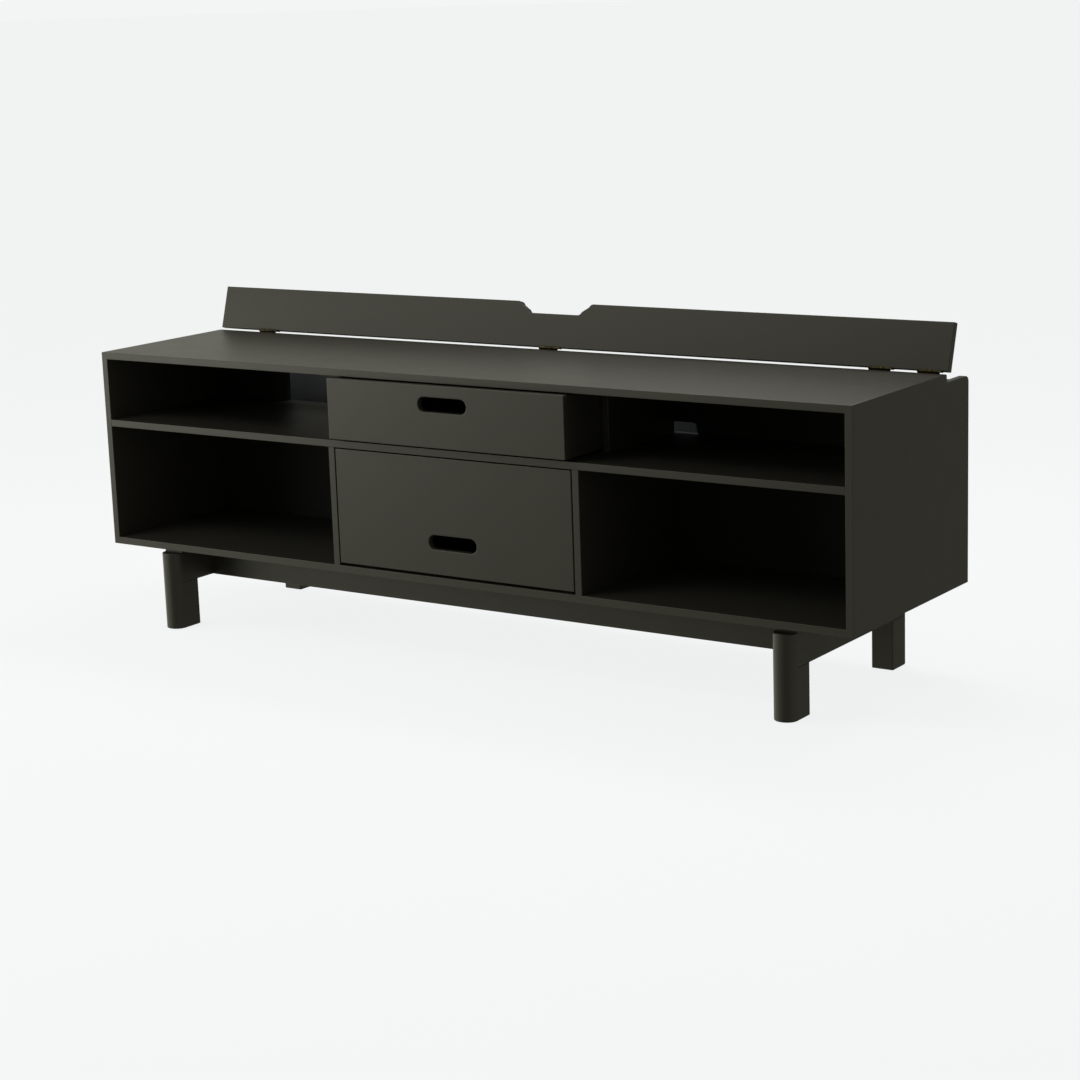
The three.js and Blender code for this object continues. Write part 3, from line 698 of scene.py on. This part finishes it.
class CONSOLE_OT_flap(bpy.types.Operator):
    """Builds the cable flap with its notch, in its open place"""

    bl_idname = "console.flap"
    bl_label = "Cable flap"

    def execute(self, context):
        cuts = context.scene.console_openings
        x = ranges("flap")[0]
        gap = HINGE["pos_m"][1] - ranges("top_panel")[1][1]
        rear = ranges("side_panel_left")[1][1] - HINGE["pos_m"][1]
        top = ranges("top_panel")[2][1] - HINGE["pos_m"][2]
        sizes = (cuts.flap_mouth, cuts.flap_floor, cuts.flap_depth, cuts.flap_blend)
        hole = notch(sum(x) / 2, 0, *sizes)
        hole[:, 1] = rear - hole[:, 1]
        outline = np.vstack([[[x[0], gap], [x[1], gap], [x[1], rear]], hole[::-1], [[x[0], rear]]])
        depth, back = edge_round(BOARD, cuts.flap_edge_radius)
        around = np.ones(len(outline))
        loops = stand_up(inset(outline, back[:, None] * around), top - BOARD + depth, "z")
        # The two middle loops bound the flat of the edge, which has neither wear nor painted highlight.
        worn_and_highlit = on_round(back, cuts.flap_edge_radius) & (back > cuts.flap_edge_radius * SAME_PLACE)
        rim = (worn_and_highlit[:, None] * around).reshape(-1)
        points, faces = shell(loops)
        lacquer = board_lacquer(context.scene)
        piece("look_flap", [(open_flap(points), faces)], FLAP, ["flap"], lacquer, rim)
        return {"FINISHED"}


class CONSOLE_OT_hinges(bpy.types.Operator):
    """Builds the butt hinges: leaves, rolled knuckles and domed pins"""

    bl_idname = "console.hinges"
    bl_label = "Butt hinges"

    def execute(self, context):
        look = context.scene.console_hardware
        brass = once("brushed and tarnished brass", brushed_brass, look.brass, look.tarnish)
        bright = once("rubbed bright brass", brushed_brass, look.brass, look.pin_tarnish)
        hinges = sum(name.startswith("hinge_pin_") for name in frame["nodes"])
        for number in range(1, 1 + hinges):
            x = ranges(f"hinge_leaf_fixed_{number}")[0]
            third = (x[1] - x[0]) / 3
            play = look.knuckle_play
            ends = [(x[0], x[0] + third), (x[1] - third, x[1])]
            middle = [(x[0] + third + play, x[1] - third - play)]
            foot = ranges(f"hinge_leaf_fixed_{number}")[2][0] - HINGE["pos_m"][2]
            fixed = self.leaf(look, x, ends, -look.leaf_play - look.leaf_thickness, foot)
            moving = self.leaf(look, x, middle, look.leaf_play, foot)
            at_rest = [(p + np.array([0, *HINGE["pos_m"][1:]]), f) for p, f in fixed]
            opened = [(open_flap(p), f) for p, f in moving]
            names = (f"hinge_leaf_fixed_{number}", f"hinge_leaf_flap_{number}", f"hinge_pin_{number}")
            piece(f"look_{names[0]}", at_rest, CABINET, [names[0]], brass)
            piece(f"look_{names[1]}", opened, FLAP, [names[1]], brass)
            pin = ranges(names[2])[0]
            dome = [self.dome(look.pin_head, x[0], pin[0]), self.dome(look.pin_head, x[1], pin[1])]
            piece(f"look_{names[2]}", dome, CABINET, [names[2]], bright)
        return {"FINISHED"}

    def leaf(self, look, x, runs, face, foot):
        """A plate from its foot up to the barrel, and a knuckle on each of its runs: a cylinder
        about the hinge axis with a bevel at both ends."""
        r, bevel = look.knuckle_radius, look.knuckle_arris
        through = (face, face + look.leaf_thickness)
        # The plate ends just inside the barrel, and the tabs reach well into it.
        plate_top, tab_top = -0.9 * r, -0.35 * r
        corners = (look.leaf_corner, look.leaf_corner, look.leaf_edge, look.leaf_edge)
        outline = rounded_rectangle(x, (foot, plate_top), corners)
        shells = [slab(outline, "y", through, look.leaf_edge)[0]]
        for x0, x1 in runs:
            tab = rectangle((x0, x1), (-r, tab_top))
            shells.append(slab(tab, "y", through, look.leaf_edge / 2)[0])
            start = [(POLE, x0), (r - bevel, x0), (r, x0 + bevel)]
            end = [(r, x1 - bevel), (r - bevel, x1), (POLE, x1)]
            shells.append(revolve(start + end, (0, 0, 0), "x"))
        return shells

    def dome(self, radius, start, end):
        """A low dome: radius * cos t at start + (end - start) * sin t."""
        t = np.linspace(0, math.pi / 2, 6)
        r = np.maximum(radius * np.cos(t), POLE)
        profile = np.column_stack([r, start + (end - start) * np.sin(t)])
        return revolve(profile, (0, *HINGE["pos_m"][1:]), "x", 20)


def slotted_front(x, y, z, slot_z, look):
    """A drawer front as one closed ring of loops, each of four quarter arcs, centre +
    r (cos t, sin t). The loops run from the front face round the outer edge to the rear face,
    across it to the slot, and through the slot to the front face again. Both edges have an
    edge_round at both faces."""
    quarter = 7  # steps in each corner's arc
    middle = (x[0] + x[1]) / 2
    end = look.slot_height / 2
    reach = look.slot_length / 2 - end
    least_corner, margin = 0.2 * MM, 0.8 * MM

    def outer(inset_by):
        r = max(look.corner_radius - inset_by, least_corner)
        u = (x[0] + inset_by, x[1] - inset_by)
        v = (z[0] + inset_by, z[1] - inset_by)
        return rounded_rectangle(u, v, (r, r, r, r), quarter)

    def slot(grown_by):
        r = end + grown_by
        u = (middle - reach - r, middle + reach + r)
        v = (slot_z - r, slot_z + r)
        return rounded_rectangle(u, v, (r, r, r, r), quarter)

    depth, back = edge_round(y[1] - y[0], look.edge_radius)
    slot_depth, slot_back = edge_round(y[1] - y[0], look.slot_edge_radius, 5)
    # A plain loop beside each round keeps the flat faces flat.
    frame_in, slot_out = look.edge_radius + margin, look.slot_edge_radius + margin
    # The rounds are marked for lighter edges: wear, and a painted highlight.
    edge_worn_and_highlit, slot_worn_and_highlit = on_round(back, look.edge_radius), on_round(slot_back, look.slot_edge_radius)
    rings = [(outer(frame_in), y[0], False)]
    rings += [(outer(b), y[0] + d, worn_and_highlit) for d, b, worn_and_highlit in zip(depth, back, edge_worn_and_highlit)]
    rings += [(outer(frame_in), y[1], False), (slot(slot_out), y[1], False)]
    backwards = zip(slot_depth[::-1], slot_back[::-1], slot_worn_and_highlit[::-1])
    rings += [(slot(b), y[0] + d, worn_and_highlit) for d, b, worn_and_highlit in backwards]
    rings += [(slot(slot_out), y[0], False)]
    flat = np.stack([ring[0] for ring in rings])
    places = np.array([ring[1] for ring in rings])
    rim = np.repeat([float(ring[2]) for ring in rings], flat.shape[1])
    return shell(stand_up(flat, places, "y"), ring=True), rim


class CONSOLE_OT_drawers(bpy.types.Operator):
    """Builds both drawers: slotted fronts and their boxes"""

    bl_idname = "console.drawers"
    bl_label = "Drawers"

    def execute(self, context):
        look = context.scene.console_drawers
        lacquer = board_lacquer(context.scene)
        paint = context.scene.console_base.lacquer
        box = once("sprayed birch plywood", satin_lacquered_beech, paint, "y")
        # The bottom's edges stay square. This only places its loops beside them.
        beside = 0.5 * MM
        for name in ("upper_drawer", "lower_drawer"):
            node = f"{name}_front"
            x, y, z = ranges(node)
            from_top, from_bottom = z[1] - look.upper_slot_drop, z[0] + look.lower_slot_rise
            slot_z = from_top if name == "upper_drawer" else from_bottom
            made, rim = slotted_front(x, y, z, slot_z, look)
            # The front's rounded edges take the lighter edge colour: wear, and a painted highlight.
            worn_and_highlit = rim * look.edge_wear_and_highlight
            piece(f"look_{node}", [made], name, [node], lacquer, worn_and_highlit)
            for side in ("left", "right"):
                self.wall(f"{name}_side_{side}", "x", ("v1", "v0"), look.wall_radius, box, name)
            self.wall(f"{name}_back", "y", ("v1",), look.wall_radius, box, name)
            self.wall(f"{name}_bottom", "z", (), beside, box, name)
        return {"FINISHED"}

    def wall(self, node, axis, free, radius, box, drawer):
        add_board(f"look_{node}", node, axis, free, radius, box, drawer)


class CONSOLE_OT_base(bpy.types.Operator):
    """Builds the base: notched legs with round outward corners, rails and glides"""

    bl_idname = "console.base"
    bl_label = "Base"

    def execute(self, context):
        look = context.scene.console_base
        beech = upright_beech(context.scene)
        wood = satin_lacquered_beech
        along_y = once("satin lacquered beech, front to back", wood, look.lacquer, "y")
        along_x = once("satin lacquered beech, left to right", wood, look.lacquer, "x")
        nylon = once("moulded black polyamide", moulded_polyamide)
        for end in ("front", "rear"):
            for side in ("left", "right"):
                node = f"leg_{end}_{side}"
                made, rim = self.leg(look, node, end == "front")
                piece(f"look_{node}", [made], CABINET, [node], beech, rim)
                self.glide(f"glide_{end}_{side}", nylon)
        for side in ("left", "right"):
            node = f"side_rail_{side}"
            self.rail(node, "x", look.side_rail_round, along_y)
        for end in ("front", "rear"):
            node = f"cross_rail_{end}"
            self.rail(node, "y", look.cross_rail_round, along_x)
        return {"FINISHED"}

    def rail(self, node, axis, radius, wood):
        add_board(f"look_{node}", node, axis, ("v0",), radius, wood)

    def leg(self, look, node, is_front):
        """The leg's plan carried upwards. It grows from the foot's round, z = r (1 - cos t), and at
        the rail the part behind the seat is clamped to the seat's face."""
        x, y, z = ranges(node)
        rail_low = ranges("side_rail_left")[2][0]
        big, small = look.leg_round, look.leg_arris
        radii = (big, big, small, small) if is_front else (small, small, big, big)
        plan = rounded_rectangle(x, y, radii, 10)
        seat = y[0] + look.rail_seat if is_front else y[1] - look.rail_seat
        t = np.linspace(0, math.pi / 2, 6)
        foot_in = look.foot_round * (1 - np.sin(t))
        foot_up = z[0] + look.foot_round * (1 - np.cos(t))
        head_in = look.head_round * (1 - np.sin(t))[::-1]
        head_up = z[1] - look.head_round * (1 - np.cos(t))[::-1]
        around = np.ones(len(plan))
        clamped = np.minimum if is_front else np.maximum
        low = inset(plan, foot_in[:, None] * around)
        high = inset(plan, head_in[:, None] * around)
        high[..., 1] = clamped(high[..., 1], seat)
        shaft, step = plan[None], plan[None].copy()
        step[..., 1] = clamped(step[..., 1], seat)
        flat = np.concatenate([low, shaft, step, high])
        places = np.concatenate([foot_up, [rail_low], [rail_low], head_up])
        # The faces from the foot's round to the head's have neither wear nor painted highlight.
        worn_and_highlit = np.concatenate([foot_in < look.foot_round, [False, False], head_in < look.head_round])
        worn_and_highlit[len(t) - 1:len(t) + 3] = False
        return shell(stand_up(flat, places, "z")), np.repeat(worn_and_highlit * 1.0, len(plan))

    def glide(self, node, nylon):
        """A low button: a flat sole, a quarter-round edge, r sin t out and r (1 - cos t) up, and a
        flat top."""
        rounded = 0.6  # share of its height
        x, y, z = ranges(node)
        radius = (x[1] - x[0]) / 2
        height = z[1] - z[0]
        t = np.linspace(0, math.pi / 2, 6)
        r = height * rounded
        sole = np.column_stack([radius - r + r * np.sin(t), z[0] + r * (1 - np.cos(t))])
        profile = np.vstack([[[POLE, z[0]]], sole, [[radius, z[1]], [POLE, z[1]]]])
        made = revolve(profile, (sum(x) / 2, sum(y) / 2, 0), "z")
        piece(f"look_{node}", [made], CABINET, [node], nylon)


class CONSOLE_OT_runners(bpy.types.Operator):
    """Finishes the steel runner angles under the drawers"""

    bl_idname = "console.runners"
    bl_label = "Drawer runners"

    def execute(self, context):
        steel = once("zinc-plated steel", zinc_plated_steel)
        for name, node in frame["nodes"].items():
            if "_runner_" in name:
                node.data.materials.clear()
                node.data.materials.append(steel)
        return {"FINISHED"}


# Each softbox's size, its place and the point that it faces, in metres.
SOFTBOXES = {
    "key": ((1.6, 1.2), (-1.5, -2.1, 3.0), (-0.2, 0, 0.4)),
    "low": ((2.0, 1.4), (-2.8, -2.4, 0.75), (-0.3, -0.1, 0.4)),
    "rear": ((2.0, 0.6), (0.2, 0.9, 2.4), (0, 0.2, 0.5)),
}


class CONSOLE_OT_stage(bpy.types.Operator):
    """Sets the pale floor, the soft lights and the camera"""

    bl_idname = "console.stage"
    bl_label = "Stage, lights and camera"

    def execute(self, context):
        look = context.scene.console_stage
        self.floor(look)
        self.lights(context.scene, look)
        self.camera(context.scene, look)
        context.scene.view_settings.view_transform = "Standard"
        return {"FINISHED"}

    def floor(self, look):
        half = 400  # metres; past it the backdrop has nearly the same tone
        under, face = -20 * MM, -0.2 * MM
        flat = rectangle((-half, half), (-half, half))
        points, faces = shell(stand_up(np.stack([flat, flat]), (under, face), "z"))
        mesh = bpy.data.meshes.new("floor")
        mesh.from_pydata(points.tolist(), [], faces)
        values = (look.backdrop, look.floor_paint, look.floor_glow)
        mesh.materials.append(once("lit white acrylic", lit_acrylic_floor, *values))
        floor = bpy.data.objects.new("floor", mesh)
        bpy.context.scene.collection.objects.link(floor)
        floor.visible_diffuse = floor.visible_glossy = floor.visible_shadow = False

    def lights(self, scene, look):
        world = bpy.data.worlds.new("white room")
        world.use_nodes = True
        tree = world.node_tree
        tree.nodes.clear()
        pale = {"Color": linear(look.backdrop), "Strength": 1.0}
        seen = add(tree, "ShaderNodeBackground", pale).outputs[0]
        warm = {"Color": linear(look.room_colour), "Strength": self.room(tree, look)}
        soft = add(tree, "ShaderNodeBackground", warm).outputs[0]
        direct = add(tree, "ShaderNodeLightPath").outputs["Is Camera Ray"]
        both = add(tree, "ShaderNodeMixShader", {0: direct, 1: soft, 2: seen})
        add(tree, "ShaderNodeOutputWorld", {"Surface": both.outputs[0]})
        scene.world = world
        for name, layout in SOFTBOXES.items():
            self.softbox(f"{name} softbox", getattr(look, name), *layout)

    def room(self, tree, look):
        """Room light by direction: the sum over the axes of cosine squared times the strength of
        the end that the direction points to."""
        low, high = np.array(look.room_low), np.array(look.room_high)
        ray = add(tree, "ShaderNodeTexCoord").outputs["Generated"]
        share = add(tree, "ShaderNodeVectorMath", {0: ray, 1: ray}, operation="MULTIPLY").outputs[0]
        side = add(tree, "ShaderNodeVectorMath", {0: ray}, operation="SIGN").outputs[0]
        ends = {0: side, 1: tuple((high - low) / 2), 2: tuple((high + low) / 2)}
        strength = add(tree, "ShaderNodeVectorMath", ends, operation="MULTIPLY_ADD").outputs[0]
        total = add(tree, "ShaderNodeVectorMath", {0: share, 1: strength}, operation="DOT_PRODUCT")
        return total.outputs["Value"]

    def softbox(self, name, watts, size, place, target):
        """A flat rectangular light at a place, facing a target."""
        data = bpy.data.lights.new(name, "AREA")
        data.shape = "RECTANGLE"
        data.size, data.size_y = size
        data.energy = watts
        light = bpy.data.objects.new(name, data)
        light.location = place
        light.rotation_euler = (Vector(target) - Vector(place)).to_track_quat("-Z", "Y").to_euler()
        bpy.context.scene.collection.objects.link(light)

    def camera(self, scene, look):
        data = bpy.data.cameras.new("camera")
        data.lens = look.camera_lens
        data.sensor_width = 36
        camera = bpy.data.objects.new("camera", data)
        turn = (
            Matrix.Rotation(look.camera_heading, 4, "Z")
            @ Matrix.Rotation(math.pi / 2 - look.camera_drop, 4, "X")
            @ Matrix.Rotation(-look.camera_roll, 4, "Z")
        )
        camera.matrix_world = Matrix.Translation(look.camera_place) @ turn
        scene.collection.objects.link(camera)
        scene.camera = camera


class CONSOLE_PT_panel(bpy.types.Panel):
    bl_idname = "CONSOLE_PT_panel"
    bl_label = "Media console"
    bl_space_type = "VIEW_3D"
    bl_region_type = "UI"
    bl_category = "Console"

    def draw(self, context):
        for operator in OPERATORS:
            self.layout.operator(operator.bl_idname)
        for key in SETTINGS:
            group = getattr(context.scene, key)
            box = self.layout.box()
            for prop in group.bl_rna.properties.keys():
                if prop not in ("rna_type", "name"):
                    box.prop(group, prop)


OPERATORS = (
    CONSOLE_OT_cabinet,
    CONSOLE_OT_flap,
    CONSOLE_OT_hinges,
    CONSOLE_OT_drawers,
    CONSOLE_OT_base,
    CONSOLE_OT_runners,
    CONSOLE_OT_stage,
)
SETTINGS = {
    "console_cabinet": CabinetSettings,
    "console_openings": OpeningSettings,
    "console_drawers": DrawerSettings,
    "console_base": BaseSettings,
    "console_hardware": HardwareSettings,
    "console_stage": StageSettings,
}


def register():
    for group in SETTINGS.values():
        bpy.utils.register_class(group)
    for key, group in SETTINGS.items():
        setattr(bpy.types.Scene, key, PointerProperty(type=group))
    for operator in OPERATORS:
        bpy.utils.register_class(operator)
    bpy.utils.register_class(CONSOLE_PT_panel)


def unregister():
    bpy.utils.unregister_class(CONSOLE_PT_panel)
    for operator in reversed(OPERATORS):
        bpy.utils.unregister_class(operator)
    for key, group in SETTINGS.items():
        delattr(bpy.types.Scene, key)
        bpy.utils.unregister_class(group)


def main():
    register()
    for operator in OPERATORS:
        group, name = operator.bl_idname.split(".")
        getattr(getattr(bpy.ops, group), name)()


if __name__ == "__main__":
    main()
